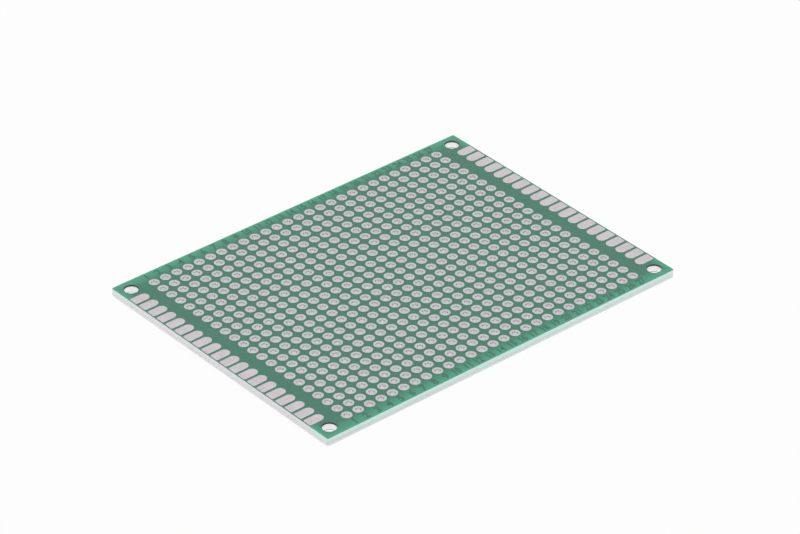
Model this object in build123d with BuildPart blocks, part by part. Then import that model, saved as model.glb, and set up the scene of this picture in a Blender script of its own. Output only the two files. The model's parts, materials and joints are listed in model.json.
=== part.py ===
from build123d import *
import os
from math import floor, sqrt

# Double-sided universal prototype board: a stiff glass-epoxy panel under green
# solder mask, drilled all over on a 0.1 inch grid, with a bank of tinned
# contact fingers along each short edge on both faces and a screw hole in each
# corner.
# X runs along the long edges, Y along the short ones, Z is up. The origin is
# the middle of the footprint, level with the face the board rests on.

# Driving dimensions, mm
board_length = 80.0
board_width = 60.0
board_thickness = 1.5  # panel with its mask, without the metal on its faces
corner_radius = 0.3  # the cut corners are only dubbed
metal_thickness = 0.05  # tinned copper, standing proud of each face

pitch = 2.54  # between grid holes, both ways
hole_diameter = 1.0  # finished bore for a component's lead
hole_sides = 4  # flats round each bore, all tangent to it
hole_to_long_edge = 3.0  # least distance from a hole's centre
hole_to_finger = 3.0  # least distance from a hole's centre to a finger's tip

finger_length = 3.5
finger_gap = 0.54  # bare strip between neighbouring fingers
finger_edge_gap = 0.25  # bare strip between the fingers and the short edge

screw_hole_diameter = 2.7  # clears an M2.5 screw
screw_hole_inset = 2.5  # from both edges to the hole's centre
screw_hole_rim = 0.5  # least bare strip between a screw hole and a finger

# Levels, from the face the board rests on
panel_bottom = metal_thickness
panel_top = panel_bottom + board_thickness

# Fingers reach inwards from the short edges; their tips are half octagons
finger_width = pitch - finger_gap
finger_outer_x = board_length / 2 - finger_edge_gap
finger_tip_x = finger_outer_x - finger_length
finger_tip_cut = finger_width * (1 - sqrt(0.5))

# The grid is centred, and has as many columns and rows as its margins allow
column_count = floor(2 * (finger_tip_x - hole_to_finger) / pitch) + 1
row_count = floor((board_width - 2 * hole_to_long_edge) / pitch) + 1
row_y = [(row - (row_count - 1) / 2) * pitch for row in range(row_count)]

# Each finger lines up with a row of holes, where the screw holes leave it room
screw_hole_x = board_length / 2 - screw_hole_inset
screw_hole_y = board_width / 2 - screw_hole_inset
finger_limit_y = screw_hole_y - screw_hole_diameter / 2 - screw_hole_rim
finger_y = [y for y in row_y if abs(y) + finger_width / 2 <= finger_limit_y]

os.makedirs("parts", exist_ok=True)

# Panel, drilled through; nothing in it is left to merge, so it isn't cleaned
with BuildPart() as board:
    with BuildSketch(Plane.XY.offset(panel_bottom)):
        Rectangle(board_length, board_width)
        fillet(vertices(), corner_radius)
        with GridLocations(2 * screw_hole_x, 2 * screw_hole_y, 2, 2):
            Circle(screw_hole_diameter / 2, mode=Mode.SUBTRACT)
        with GridLocations(pitch, pitch, column_count, row_count):
            RegularPolygon(
                hole_diameter / 2,
                hole_sides,
                major_radius=False,
                mode=Mode.SUBTRACT,
            )
    extrude(amount=board_thickness, clean=False)
board.part.label = "board"
export_step(board.part, "parts/board.step")

# Contact fingers, a bank at each end of each face
for end, side, outer in (("left", -1, Align.MIN), ("right", 1, Align.MAX)):
    for face, level in (("top", panel_top), ("bottom", 0)):
        with BuildPart() as bank:
            with BuildSketch(Plane.XY.offset(level)):
                with Locations(*[(side * finger_outer_x, y) for y in finger_y]):
                    Rectangle(finger_length, finger_width, align=(outer, Align.CENTER))
                ends = vertices().group_by(Axis.X)
                chamfer(ends[-1] if side < 0 else ends[0], finger_tip_cut)
            extrude(amount=metal_thickness)
        bank.part.label = f"{end}_fingers_{face}"
        export_step(bank.part, f"parts/{bank.part.label}.step")
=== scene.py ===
import json
import math

import bmesh
import bpy
import numpy as np
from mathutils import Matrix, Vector
from mathutils.geometry import delaunay_2d_cdt


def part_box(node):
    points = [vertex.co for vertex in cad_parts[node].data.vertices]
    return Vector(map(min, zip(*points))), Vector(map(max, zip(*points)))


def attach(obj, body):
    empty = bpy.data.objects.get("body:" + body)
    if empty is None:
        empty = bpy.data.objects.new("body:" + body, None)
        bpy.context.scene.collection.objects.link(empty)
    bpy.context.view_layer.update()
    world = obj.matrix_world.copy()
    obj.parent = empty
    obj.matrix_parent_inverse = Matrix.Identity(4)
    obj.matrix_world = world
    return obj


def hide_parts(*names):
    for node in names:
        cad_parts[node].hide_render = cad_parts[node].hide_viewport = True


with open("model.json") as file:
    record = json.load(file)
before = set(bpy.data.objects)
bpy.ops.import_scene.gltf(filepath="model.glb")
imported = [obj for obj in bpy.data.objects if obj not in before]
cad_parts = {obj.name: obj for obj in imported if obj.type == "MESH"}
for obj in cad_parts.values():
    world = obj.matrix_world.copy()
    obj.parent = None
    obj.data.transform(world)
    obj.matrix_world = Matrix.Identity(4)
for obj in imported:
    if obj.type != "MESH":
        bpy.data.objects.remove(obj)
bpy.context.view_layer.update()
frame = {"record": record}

# Double-sided prototype board: laminate, solder mask, plated holes, contact
# fingers and a number beside each column of holes.
# X runs along the long edges and Y along the short ones; Z is up, from the
# lowest metal, and the origin is in the middle of the board.
# Shapes are worked out in millimetres, and new_piece() turns them into metres.
MM = 0.001


def node_box(node):
    """A node's lowest and highest corners, in millimetres."""
    return tuple(np.array(corner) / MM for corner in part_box(node))


# What the frame says
panel_low, panel_high = node_box("board")
finger_low, finger_high = node_box("right_fingers_top")
mounts = {mount["name"]: mount for mount in frame["record"]["mounts"]}
screw_dims = mounts["screw_holes"]["dims"]

HALF_LENGTH, HALF_WIDTH = panel_high[0], panel_high[1]
PANEL_BOTTOM, PANEL_TOP = panel_low[2], panel_high[2]
METAL_BOTTOM = node_box("right_fingers_bottom")[0][2]
METAL_TOP = finger_high[2]
MIDDLE = (METAL_BOTTOM + METAL_TOP) / 2
SCREW_X = screw_dims["spacing_x_mm"] / 2
SCREW_Y = screw_dims["spacing_y_mm"] / 2
SCREW_RADIUS = screw_dims["hole_r_mm"]

# Grid of plated holes
PITCH = 2.54
COLUMNS = 27
ROWS = 22
BORE_RADIUS = 0.5
PAD_RADIUS = 1.0
BARREL_WALL = 0.03
HOLE_STEPS = 24

# Pieces that share the plated holes: name, first column, and column after the last
HOLE_GROUPS = (("left", 0, 9), ("middle", 9, 18), ("right", 18, COLUMNS))

# Contact fingers
FINGERS = 20
FINGER_TIP_X, FINGER_END_X = finger_low[0], finger_high[0]
FINGER_WIDTH = finger_high[1] - finger_low[1] - (FINGERS - 1) * PITCH
FINGER_CORNER = 0.35
LEAST_CORNER = 0.02
TIP_STEPS = 16

# Rounding of the metal: how far in from its edge, and how far below its top
PAD_SHOULDER = ((0.0, 0.028), (0.035, 0.006), (0.14, 0.0))
BORE_MOUTH = ((0.09, 0.002), (0.035, 0.018), (0.01, 0.055), (0.0, 0.12))
FINGER_CROWN = ((0.0, 0.028), (0.035, 0.006), (0.14, 0.001), (0.4, 0.0))

# Films on the laminate
CORNER_RADIUS = 0.3
CORNER_STEPS = 5
MASK_DEPTH = 0.03
MASK_GAP = 0.04
MASK_SETBACK = 0.08
CORE_BOTTOM, CORE_TOP = PANEL_BOTTOM + MASK_DEPTH, PANEL_TOP - MASK_DEPTH

# Screw holes: how deep their dark rings reach, and the rings' narrow flange
SCREW_STEPS = 48
TOP_LIP = 0.30
BOTTOM_LIP = 0.08
RIM_WIDTH = 0.05
RIM_SEAT = 0.002
RIM_RISE = 0.004

# Numbers beside the outer rows; two figures are set narrower than one
NUMBER_HEIGHT = 1.6
NUMBER_CONDENSED = 0.8
NUMBER_BOLDNESS = 0.02
NUMBER_CURVE_STEPS = 3
NUMBER_WELD = 0.0005
NUMBER_THICKNESS = 0.02
NUMBER_Y = 28.84

# Edges that turn by more than this many degrees are drawn sharp
SHARP_ANGLE = 30


def flipped(z):
    """The same level on the other face of the board."""
    return 2 * MIDDLE - z


def centred(count):
    """So many places, a pitch apart, about the middle."""
    return (np.arange(count) - (count - 1) / 2) * PITCH


def grid(first=0, last=COLUMNS):
    """Centres of the plated holes in the columns from first up to, but without, last."""
    return [(x, y) for x in column_places[first:last] for y in centred(ROWS)]


column_places = centred(COLUMNS)
finger_rows = centred(FINGERS)
screw_centres = [(x, y) for x in (-SCREW_X, SCREW_X) for y in (-SCREW_Y, SCREW_Y)]


# Shapes


def arc(x, y, radius, start, end, steps):
    """Points on an arc, ends included; angles in degrees."""
    turn = np.radians(np.linspace(start, end, steps + 1))
    return np.column_stack([x + radius * np.cos(turn), y + radius * np.sin(turn)])


def circle(x, y, radius, steps):
    return arc(x, y, radius, 0, 360, steps)[:-1]


def rounded_rectangle(half_x, half_y, radius):
    corners = ((1, 1, 0), (-1, 1, 90), (-1, -1, 180), (1, -1, 270))
    return np.vstack([
        arc(
            side_x * (half_x - radius), side_y * (half_y - radius),
            radius, start, start + 90, CORNER_STEPS,
        )
        for side_x, side_y, start in corners
    ])


def finger_outline(side, y, inset):
    """A finger seen from above, anticlockwise: square outer end, round inner tip."""
    half = FINGER_WIDTH / 2 - inset
    corner = max(FINGER_CORNER - inset, LEAST_CORNER)
    outer = FINGER_END_X - inset - corner
    tip_centre = FINGER_TIP_X + FINGER_WIDTH / 2
    shape = np.vstack([
        arc(tip_centre, 0, half, 90, 270, TIP_STEPS),
        arc(outer, -half + corner, corner, 270, 360, CORNER_STEPS),
        arc(outer, half - corner, corner, 0, 90, CORNER_STEPS),
    ])
    return shape[::side] * (side, 1) + (0, y)


def levelled(outline, z):
    """The points of an outline, all at one height."""
    return np.column_stack([outline, np.full(len(outline), z)])


def loop_edges(count, start):
    return [(start + i, start + (i + 1) % count) for i in range(count)]


def drilled_film(outer, openings, low, high):
    """A flat closed plate between two levels, with convex openings through it."""
    loops = [outer, *(loop[::-1] for loop in openings)]
    owner = np.repeat(np.arange(len(loops)), [len(loop) for loop in loops])
    edges = []
    for loop in loops:
        edges += loop_edges(len(loop), len(edges))
    points = [Vector(point) for point in np.vstack(loops)]
    keep_inside, same_point = 1, 1e-6
    flat, _, triangles, origins, _, _ = delaunay_2d_cdt(
        points, edges, [], keep_inside, same_point
    )
    place = {old: new for new, olds in enumerate(origins) for old in olds}
    owner = owner[[olds[0] for olds in origins]]
    # A triangle with all its corners on one opening lies inside that opening
    triangles = [t for t in triangles if len(set(owner[t])) > 1 or owner[t[0]] == 0]
    count = len(flat)
    vertices = np.vstack([levelled(np.array(flat), z) for z in (low, high)])
    faces = [[i + count for i in t] for t in triangles] + [t[::-1] for t in triangles]
    for start, end in edges:
        a, b = place[start], place[end]
        faces.append([a, b, b + count, a + count])
    return vertices, faces


def stacked(outlines, heights):
    """A closed solid through outlines of equally many points, one at each height."""
    count = len(outlines[0])
    vertices = np.vstack([levelled(outline, z) for outline, z in zip(outlines, heights)])
    faces = [list(range(count))[::-1]]
    for level in range(len(outlines) - 1):
        for a, b in loop_edges(count, level * count):
            faces.append([a, b, b + count, a + count])
    last = (len(outlines) - 1) * count
    faces.append(list(range(last, last + count)))
    return vertices, faces


def revolved(profile, centres, steps):
    """A closed ring of the given section round each centre."""
    turn = np.linspace(0, 2 * math.pi, steps, endpoint=False)
    radius, height = np.array(profile).T
    x = np.outer(np.cos(turn), radius)
    y = np.outer(np.sin(turn), radius)
    z = np.tile(height, (steps, 1))
    one = np.stack([x, y, z], -1).reshape(-1, 3)
    vertices = np.vstack([one + (*centre, 0) for centre in centres])
    size = len(profile)
    step, point = np.meshgrid(np.arange(steps), np.arange(size), indexing="ij")
    here, there = step * size, (step + 1) % steps * size
    after = (point + 1) % size
    ring = np.stack([here + point, there + point, there + after, here + after], -1)
    ring = ring.reshape(-1, 4)
    faces = np.vstack([ring + k * len(one) for k in range(len(centres))])
    return vertices, faces.tolist()


def joined(shapes):
    """Several shapes as one list of vertices and one of faces."""
    vertices, faces, start = [], [], 0
    for shape_vertices, shape_faces in shapes:
        vertices.append(shape_vertices)
        faces += [[i + start for i in face] for face in shape_faces]
        start += len(shape_vertices)
    return np.vstack(vertices), faces


def mirrored(shape):
    """The mirror image of a shape on the other face of the board."""
    vertices, faces = shape
    return vertices * (1, 1, -1) + (0, 0, 2 * MIDDLE), [face[::-1] for face in faces]


def rolled_over(shape):
    """A shape turned half round about the Y axis, onto the other face of the board."""
    vertices, faces = shape
    return vertices * (-1, 1, -1) + (0, 0, 2 * MIDDLE), faces


def new_piece(name, shape, material, replaced=()):
    """A closed mesh on the board, from a shape in millimetres."""
    vertices, faces = shape
    mesh = bpy.data.meshes.new(name)
    mesh.from_pydata((np.asarray(vertices) * MM).tolist(), [], faces)
    mesh.polygons.foreach_set("use_smooth", [True] * len(faces))
    mesh.set_sharp_from_angle(angle=math.radians(SHARP_ANGLE))
    mesh.materials.append(material)
    piece = bpy.data.objects.new(name, mesh)
    bpy.context.scene.collection.objects.link(piece)
    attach(piece, "root")
    if replaced:
        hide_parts(*replaced)


# Node trees and materials

# Most values of a noise texture lie between these
NOISE_LOW, NOISE_HIGH = 0.3, 0.7

# Painted glow of the solder mask: how far in from an edge it starts and is full
GLOW_FULL = 0.2
LONG_EDGE_GLOW = 2.8
SHORT_EDGE_GLOW = 0.8
SHORT_EDGE_SHARE = 0.4
CORNER_GLOW_X = 1.8
CORNER_GLOW_Y = 5.2
CORNER_FULL_Y = 4.4
MOTTLE = 0.08

# Zones of the laminate's painted glow: where each one starts, and where it is full
UPPER_START, UPPER_FULL = CORE_TOP - 0.9, CORE_TOP - 0.5
SHORT_FOOT_START, SHORT_FOOT_FULL = CORE_BOTTOM + 0.6, CORE_BOTTOM + 0.15
LONG_FOOT_START, LONG_FOOT_FULL = CORE_BOTTOM + 0.45, CORE_BOTTOM
BEYOND_START, BEYOND_FULL = HALF_WIDTH - 4.8, HALF_WIDTH - 4.0
# The laminate's flat faces get painted gap shade only nearer the middle than this
GAP_SHADE_END = HALF_LENGTH - 0.15
# How strongly the short walls' upper layers are painted white, as painted glow
SHORT_WALL_WHITE = 0.5
LAYER_STRETCH = (1, 1, 9)

# A face is flat where its normal points up or down by more than this
FLAT_FACE = 0.8

# How far below the panel's faces the tin has its painted light for the inside of a hole
BORE_FULL = 0.05


class Nodes:
    """A node tree under construction."""

    def __init__(self, tree):
        self.tree = tree

    def node(self, kind, inputs=(), **settings):
        """Adds a node; its inputs are given by name or by number."""
        made = self.tree.nodes.new(kind)
        for key, value in settings.items():
            setattr(made, key, value)
        for socket, value in dict(inputs).items():
            self.put(made.inputs[socket], value)
        return made

    def put(self, socket, value):
        """Links a socket to another one, or gives it a value."""
        if isinstance(value, bpy.types.NodeSocket):
            self.tree.links.new(value, socket)
        else:
            socket.default_value = value

    def maths(self, operation, a, b=0.0, clamp=False):
        settings = {"operation": operation, "use_clamp": clamp}
        return self.node("ShaderNodeMath", {0: a, 1: b}, **settings).outputs[0]

    def ranged(self, value, low, high, out_low, out_high):
        """Spreads the values from low to high over another range, and holds its ends."""
        made = self.node("ShaderNodeMapRange", {
            "Value": value,
            "From Min": low,
            "From Max": high,
            "To Min": out_low,
            "To Max": out_high,
        })
        return made.outputs["Result"]

    def mix(self, factor, first, second):
        inputs = {"Factor": factor, "A": first, "B": second}
        return self.node("ShaderNodeMix", inputs, data_type="RGBA").outputs["Result"]


class Surface(Nodes):
    """A material under construction; the board's own axes place its patterns."""

    def __init__(self, name):
        self.material = bpy.data.materials.new(name)
        self.material.use_nodes = True
        super().__init__(self.material.node_tree)
        self.shader = self.tree.nodes["Principled BSDF"]
        self.place = self.node("ShaderNodeTexCoord").outputs["Object"]

    def set(self, **inputs):
        """Sets the shader's inputs; an underscore in a name stands for a space."""
        for key, value in inputs.items():
            self.put(self.shader.inputs[key.replace("_", " ")], value)

    def noise(self, spots, detail=2.0, stretch=None):
        """Noise of about the given number of spots per millimetre."""
        place = self.place
        if stretch:
            mapping = self.node("ShaderNodeMapping", {"Vector": place, "Scale": stretch})
            place = mapping.outputs[0]
        inputs = {"Vector": place, "Scale": spots / MM, "Detail": detail}
        return self.node("ShaderNodeTexNoise", inputs).outputs["Fac"]

    def uneven(self, spots, low=0.0, high=1.0, detail=2.0, stretch=None):
        """The same noise, spread out from low to high."""
        noise = self.noise(spots, detail, stretch)
        return self.ranged(noise, NOISE_LOW, NOISE_HIGH, low, high)

    def zone(self, distance, start, full, most=1.0):
        """Rises from 0 to its most between two distances in millimetres."""
        return self.ranged(distance, start * MM, full * MM, 0.0, most)

    def bump(self, height, distance):
        inputs = {"Height": height, "Distance": distance * MM}
        self.set(Normal=self.node("ShaderNodeBump", inputs).outputs[0])

    def axes(self):
        """Distances from the middle planes, and height, in metres."""
        split = self.node("ShaderNodeSeparateXYZ", {0: self.place})
        x = self.maths("ABSOLUTE", split.outputs[0])
        y = self.maths("ABSOLUTE", split.outputs[1])
        return x, y, split.outputs[2]


def colour(red, green, blue):
    return (red, green, blue, 1.0)


def solder_mask(name, deep, lit):
    """Green lacquer, painted lighter near a bare edge: painted glow of light that gets into the
    laminate there.
    """
    mask = Surface(name)
    x, y, _ = mask.axes()
    full_x, full_y = HALF_LENGTH - GLOW_FULL, HALF_WIDTH - GLOW_FULL
    by_long_edge = mask.zone(y, HALF_WIDTH - LONG_EDGE_GLOW, full_y)
    by_short_edge = mask.zone(x, HALF_LENGTH - SHORT_EDGE_GLOW, full_x, SHORT_EDGE_SHARE)
    corner = mask.maths(
        "MULTIPLY",
        mask.zone(x, HALF_LENGTH - CORNER_GLOW_X, full_x),
        mask.zone(y, HALF_WIDTH - CORNER_GLOW_Y, HALF_WIDTH - CORNER_FULL_Y),
    )
    # Painted glow: the lacquer is painted lighter near the long edges, the short edges and the
    # corners, for light through the laminate
    glow = mask.maths("MAXIMUM", by_long_edge, mask.maths("MAXIMUM", by_short_edge, corner))
    glow = mask.maths("ADD", glow, mask.uneven(0.9, -MOTTLE, MOTTLE), clamp=True)
    mask.set(Base_Color=mask.mix(glow, deep, lit), Roughness=mask.uneven(2.5, 0.26, 0.36))
    mask.set(IOR=1.58)
    mask.bump(mask.noise(3.0, detail=3.0), distance=0.006)
    return mask.material


def laminate():
    """Pale glass-epoxy: fine layers in the cut edges, painted glow of light through the laminate
    in the walls, and a painted dark shade of dull olive in its flat faces, which show only in the
    narrow gaps round the metal.
    """
    epoxy = Surface("laminate")
    x, y, z = epoxy.axes()
    layers = epoxy.uneven(0.9, detail=3.0, stretch=LAYER_STRETCH)
    upper = epoxy.zone(z, UPPER_START, UPPER_FULL)
    mint = colour(0.80, 0.97, 0.93)
    white = colour(0.97, 0.97, 0.98)
    olive = colour(0.10, 0.13, 0.08)

    # Short walls are grey, painted whiter high up and mint high up beyond the fingers; long walls
    # are painted green with a mint top; both are painted white at the foot. All this whiter,
    # mint, green and white is painted glow of light through the laminate.
    glow_beyond_fingers = epoxy.zone(y, BEYOND_START, BEYOND_FULL)
    short_foot_glow = epoxy.zone(z, SHORT_FOOT_START, SHORT_FOOT_FULL)
    short = epoxy.mix(layers, colour(0.81, 0.80, 0.83), colour(0.89, 0.88, 0.91))
    # Painted glow on the short walls: whiter upper layers, mint upper layers beyond the fingers,
    # and a white foot
    short = epoxy.mix(epoxy.maths("MULTIPLY", upper, SHORT_WALL_WHITE), short, white)
    short = epoxy.mix(epoxy.maths("MULTIPLY", upper, glow_beyond_fingers), short, mint)
    short = epoxy.mix(short_foot_glow, short, white)
    long_foot_glow = epoxy.zone(z, LONG_FOOT_START, LONG_FOOT_FULL)
    # Painted glow on the long walls: green all along, a mint top and a white foot
    long = epoxy.mix(layers, colour(0.68, 0.82, 0.80), colour(0.76, 0.90, 0.88))
    long = epoxy.mix(upper, long, mint)
    long = epoxy.mix(long_foot_glow, long, white)

    facing = epoxy.node("ShaderNodeNewGeometry").outputs["Normal"]
    facing = epoxy.node("ShaderNodeSeparateXYZ", {0: facing})
    _, facing_y, facing_z = facing.outputs
    wall = epoxy.mix(epoxy.maths("MULTIPLY", facing_y, facing_y), short, long)
    # Painted shade: the laminate's flat faces show only in the narrow gaps round the metal, and
    # are painted dark olive there
    flat = epoxy.maths("GREATER_THAN", epoxy.maths("ABSOLUTE", facing_z), FLAT_FACE)
    inner = epoxy.maths("LESS_THAN", x, GAP_SHADE_END * MM)
    shaded_gaps = epoxy.maths("MULTIPLY", flat, inner)
    epoxy.set(Base_Color=epoxy.mix(shaded_gaps, wall, olive), Roughness=0.55)
    return epoxy.material


def tinned_copper(name, dull, bright, bore):
    """Levelled tin: soft metal with slow unevenness, painted lighter inside the holes, for light
    coming through them.
    """
    tin = Surface(name)
    _, _, z = tin.axes()
    face = tin.mix(tin.uneven(0.55, detail=3.0), dull, bright)
    from_middle = tin.maths("ABSOLUTE", tin.maths("SUBTRACT", z, MIDDLE * MM))
    half_panel = PANEL_TOP - MIDDLE
    inside = tin.zone(from_middle, half_panel, half_panel - BORE_FULL)
    # Painted light: the tin is painted lighter inside the holes, for light coming through them
    tin.set(Base_Color=tin.mix(inside, face, bore), Roughness=tin.uneven(1.7, 0.22, 0.38))
    tin.set(Metallic=1.0)
    tin.bump(tin.noise(1.1, detail=3.0), distance=0.02)
    return tin.material


def dark_rim():
    """The dark lip of a screw hole."""
    rim = Surface("dark_rim")
    stain = rim.mix(rim.noise(4.0), colour(0.02, 0.025, 0.02), colour(0.05, 0.06, 0.05))
    rim.set(Base_Color=stain, Roughness=0.6)
    return rim.material


mask_green = solder_mask(
    "solder_mask", colour(0.038, 0.206, 0.135), colour(0.060, 0.410, 0.250)
)
number_green = solder_mask(
    "number_green", colour(0.030, 0.155, 0.100), colour(0.033, 0.180, 0.115)
)
bare_laminate = laminate()
# Painted light for the tin inside the holes, and wherever the tin lies between the panel's faces
bore_painted_light = colour(0.92, 0.89, 0.91)
finger_tin = tinned_copper(
    "finger_tin", colour(0.74, 0.69, 0.72), colour(0.83, 0.77, 0.81), bore_painted_light
)
pad_tin = tinned_copper(
    "pad_tin", colour(0.675, 0.685, 0.70), colour(0.755, 0.765, 0.78), bore_painted_light
)
rim_dark = dark_rim()


# Panel: laminate between two films of solder mask


def panel():
    outline = rounded_rectangle(HALF_LENGTH, HALF_WIDTH, CORNER_RADIUS)
    screws = [circle(x, y, SCREW_RADIUS + BARREL_WALL, SCREW_STEPS) for x, y in screw_centres]
    # The barrels hide the laminate's bores, so half as many flats will do
    bores = [circle(x, y, BORE_RADIUS + BARREL_WALL, HOLE_STEPS // 2) for x, y in grid()]
    core = drilled_film(outline, screws + bores, CORE_BOTTOM, CORE_TOP)
    new_piece("laminate", core, bare_laminate, ["board"])
    windows = [circle(x, y, PAD_RADIUS + MASK_GAP, HOLE_STEPS) for x, y in grid()]
    windows += [
        finger_outline(side, y, -MASK_GAP) for side in (-1, 1) for y in finger_rows
    ]
    # The lacquer stops just short of the cut along the left edge
    lacquered = rounded_rectangle(HALF_LENGTH - MASK_SETBACK / 2, HALF_WIDTH, CORNER_RADIUS)
    lacquered += (MASK_SETBACK / 2, 0)
    film = drilled_film(lacquered, screws + windows, CORE_TOP, PANEL_TOP)
    new_piece("mask_top", film, mask_green, ["board"])
    new_piece("mask_bottom", mirrored(film), mask_green, ["board"])


# Plated holes: a ring pad on each face, joined by a barrel


def plated_holes():
    top = [(BORE_RADIUS + BARREL_WALL, CORE_TOP), (PAD_RADIUS, CORE_TOP)]
    top += [(PAD_RADIUS - inset, METAL_TOP - drop) for inset, drop in PAD_SHOULDER]
    top += [(BORE_RADIUS + inset, METAL_TOP - drop) for inset, drop in BORE_MOUTH]
    profile = top + [(radius, flipped(z)) for radius, z in reversed(top)]
    for group, first, last in HOLE_GROUPS:
        shape = revolved(profile, grid(first, last), HOLE_STEPS)
        new_piece(f"plated_holes_{group}", shape, pad_tin, ["board"])


# Fingers: softened edges and a slightly crowned face


def contact_fingers():
    insets = [0.0, *(inset for inset, _ in FINGER_CROWN)]
    heights = [CORE_TOP, *(METAL_TOP - drop for _, drop in FINGER_CROWN)]
    for end, side in (("left", -1), ("right", 1)):
        top = joined([
            stacked([finger_outline(side, y, inset) for inset in insets], heights)
            for y in finger_rows
        ])
        for face, shape in (("top", top), ("bottom", mirrored(top))):
            node = f"{end}_fingers_{face}"
            new_piece(f"{node}_tinned", shape, finger_tin, [node])


# Numbers: thin dark figures on the lacquer, at both ends of each column of holes


def figures(text):
    """Vertices and faces of a number as a thin plate, centred, in millimetres."""
    curve = bpy.data.curves.new("figures", "FONT")
    curve.body = text
    curve.resolution_u = NUMBER_CURVE_STEPS
    curve.offset = NUMBER_BOLDNESS
    # Half a unit each way, so that NUMBER_THICKNESS scales it to its own size
    curve.extrude = 0.5
    holder = bpy.data.objects.new("figures", curve)
    bpy.context.scene.collection.objects.link(holder)
    graph = bpy.context.evaluated_depsgraph_get()
    mesh = bpy.data.meshes.new_from_object(holder.evaluated_get(graph))
    welded = bmesh.new()
    welded.from_mesh(mesh)
    bmesh.ops.remove_doubles(welded, verts=welded.verts, dist=NUMBER_WELD)
    bmesh.ops.dissolve_degenerate(welded, edges=welded.edges, dist=NUMBER_WELD)
    bmesh.ops.recalc_face_normals(welded, faces=welded.faces)
    welded.to_mesh(mesh)
    welded.free()
    vertices = np.array([vertex.co for vertex in mesh.vertices])
    faces = [list(face.vertices) for face in mesh.polygons]
    bpy.data.objects.remove(holder)
    bpy.data.curves.remove(curve)
    bpy.data.meshes.remove(mesh)
    low, high = vertices.min(0), vertices.max(0)
    scale = NUMBER_HEIGHT / (high[1] - low[1])
    condensed = NUMBER_CONDENSED if len(text) > 1 else 1.0
    size = (condensed * scale, scale, NUMBER_THICKNESS)
    return (vertices - (low + high) / 2) * size, faces


def column_numbers():
    plates = []
    for number, x in enumerate(column_places, 1):
        vertices, faces = figures(str(number))
        for y in (-NUMBER_Y, NUMBER_Y):
            plates.append((vertices + (x, y, PANEL_TOP + NUMBER_THICKNESS / 2), faces))
    shape = joined(plates)
    new_piece("column_numbers_top", shape, number_green)
    new_piece("column_numbers_bottom", rolled_over(shape), number_green)


# Screw holes: a thin sleeve, bright with the tin's painted light for the inside of a hole, and a
# dark ring where it meets each face


def screw_holes():
    outer = SCREW_RADIUS + BARREL_WALL
    flange = SCREW_RADIUS + RIM_WIDTH
    seat, rise = PANEL_TOP - RIM_SEAT, PANEL_TOP + RIM_RISE
    lip_top, lip_bottom = PANEL_TOP - TOP_LIP, PANEL_BOTTOM + BOTTOM_LIP
    sleeve = [
        (SCREW_RADIUS, lip_bottom), (outer, lip_bottom), (outer, lip_top), (SCREW_RADIUS, lip_top)
    ]
    sleeves = revolved(sleeve, screw_centres, SCREW_STEPS)
    new_piece("screw_hole_sleeves", sleeves, pad_tin)
    for face, depth in (("top", TOP_LIP), ("bottom", BOTTOM_LIP)):
        lip = PANEL_TOP - depth
        rim = [
            (SCREW_RADIUS, lip), (outer, lip), (outer, seat),
            (flange, seat), (flange, rise), (SCREW_RADIUS, rise),
        ]
        shape = revolved(rim, screw_centres, SCREW_STEPS)
        if face == "bottom":
            shape = mirrored(shape)
        new_piece(f"screw_hole_rims_{face}", shape, rim_dark)


# Stage: white floor, soft light, and the camera where the photographer stood

# Floor: half its side in metres, its colour, and how far it is plain white when seen
FLOOR_HALF = 3.0
FLOOR_WHITE = 0.97
FLOOR_SEEN_WHITE = 0.9

# Surround: its strength, and a dark patch behind the camera, by angles in degrees
SKY_STRENGTH = 0.76
PATCH_EDGE, PATCH_CORE = 45, 20
PATCH_LIGHT = 0.1

# Lamps: name, place and width in metres, and power in watts
LAMPS = (
    ("overhead", (0.0, 0.0, 1.2), 1.8, 1.4),
    ("left", (-1.35, -0.15, 0.95), 2.4, 5.2),
    ("right", (0.75, -1.15, 0.95), 2.4, 5.2),
)

# Camera: angles in degrees; the rest in millimetres, but for the clip in metres
CAMERA_AZIMUTH, CAMERA_ELEVATION = -40.34, 33.36
CAMERA_DISTANCE = 765.9
CAMERA_AIM = Vector((3.3, 2.15, METAL_TOP))
CAMERA_LENS = 193.46
CAMERA_SENSOR = 36.0
CAMERA_CLIP_START = 0.05


def from_angles(azimuth, elevation):
    """The direction from the board to a camera at these angles, in degrees."""
    azimuth, elevation = math.radians(azimuth), math.radians(elevation)
    flat = math.cos(elevation)
    return Vector((math.sin(azimuth) * flat, -math.cos(azimuth) * flat, math.sin(elevation)))


CAMERA_BACK = from_angles(CAMERA_AZIMUTH, CAMERA_ELEVATION)


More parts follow.
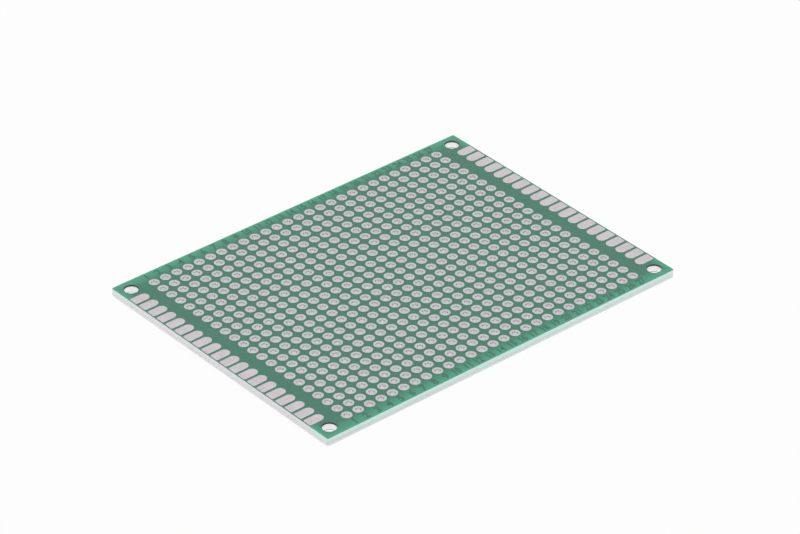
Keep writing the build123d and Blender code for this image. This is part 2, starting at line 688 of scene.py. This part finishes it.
def white_floor():
    """A floor that takes shadows, looks nearly plain white, and is clear from below."""
    material = bpy.data.materials.new("floor")
    material.use_nodes = True
    material.node_tree.nodes.clear()
    nodes = Nodes(material.node_tree)
    path = nodes.node("ShaderNodeLightPath").outputs
    seen = nodes.maths("MAXIMUM", path["Is Camera Ray"], path["Is Glossy Ray"])
    paint = colour(FLOOR_WHITE, FLOOR_WHITE, FLOOR_WHITE)
    diffuse = nodes.node("ShaderNodeBsdfDiffuse", {"Color": paint})
    white = nodes.node("ShaderNodeEmission")
    share = nodes.maths("MULTIPLY", seen, FLOOR_SEEN_WHITE)
    top = nodes.node(
        "ShaderNodeMixShader", {0: share, 1: diffuse.outputs[0], 2: white.outputs[0]}
    )
    underneath = nodes.node("ShaderNodeNewGeometry").outputs["Backfacing"]
    clear = nodes.node("ShaderNodeBsdfTransparent")
    both = nodes.node(
        "ShaderNodeMixShader", {0: underneath, 1: top.outputs[0], 2: clear.outputs[0]}
    )
    nodes.node("ShaderNodeOutputMaterial", {"Surface": both.outputs[0]})

    mesh = bpy.data.meshes.new("floor")
    corners = [
        (-FLOOR_HALF, -FLOOR_HALF, 0),
        (FLOOR_HALF, -FLOOR_HALF, 0),
        (FLOOR_HALF, FLOOR_HALF, 0),
        (-FLOOR_HALF, FLOOR_HALF, 0),
    ]
    mesh.from_pydata(corners, [], [(0, 1, 2, 3)])
    mesh.materials.append(material)
    floor = bpy.data.objects.new("floor", mesh)
    bpy.context.scene.collection.objects.link(floor)


def soft_light():
    """An even surround, and broad weak lamps overhead and on the two sides in view."""
    world = bpy.data.worlds.new("studio")
    bpy.context.scene.world = world
    world.use_nodes = True
    nodes = Nodes(world.node_tree)
    direction = nodes.node("ShaderNodeTexCoord").outputs["Generated"]
    towards = nodes.node(
        "ShaderNodeVectorMath", {0: direction, 1: CAMERA_BACK}, operation="DOT_PRODUCT"
    )
    edge, core = math.cos(math.radians(PATCH_EDGE)), math.cos(math.radians(PATCH_CORE))
    light = nodes.ranged(towards.outputs["Value"], edge, core, 1.0, PATCH_LIGHT)
    sky = world.node_tree.nodes["Background"]
    nodes.put(sky.inputs["Color"], light)
    nodes.put(sky.inputs["Strength"], SKY_STRENGTH)
    for name, place, width, power in LAMPS:
        data = bpy.data.lights.new(name, "AREA")
        data.shape = "DISK"
        data.size = width
        data.energy = power
        lamp = bpy.data.objects.new(name, data)
        bpy.context.scene.collection.objects.link(lamp)
        lamp.location = place
        lamp.rotation_mode = "QUATERNION"
        lamp.rotation_quaternion = (-Vector(place)).to_track_quat("-Z", "Y")


def camera():
    """The camera looks along the optical axis that the perspective of the hole grid gives."""
    data = bpy.data.cameras.new("camera")
    data.sensor_width = CAMERA_SENSOR
    data.lens = CAMERA_LENS
    data.clip_start = CAMERA_CLIP_START
    holder = bpy.data.objects.new("camera", data)
    bpy.context.scene.collection.objects.link(holder)
    holder.location = (CAMERA_AIM + CAMERA_BACK * CAMERA_DISTANCE) * MM
    holder.rotation_mode = "QUATERNION"
    holder.rotation_quaternion = (-CAMERA_BACK).to_track_quat("-Z", "Y")
    bpy.context.scene.camera = holder


panel()
plated_holes()
contact_fingers()
column_numbers()
screw_holes()
white_floor()
soft_light()
camera()

bpy.context.scene.view_settings.view_transform = "Standard"
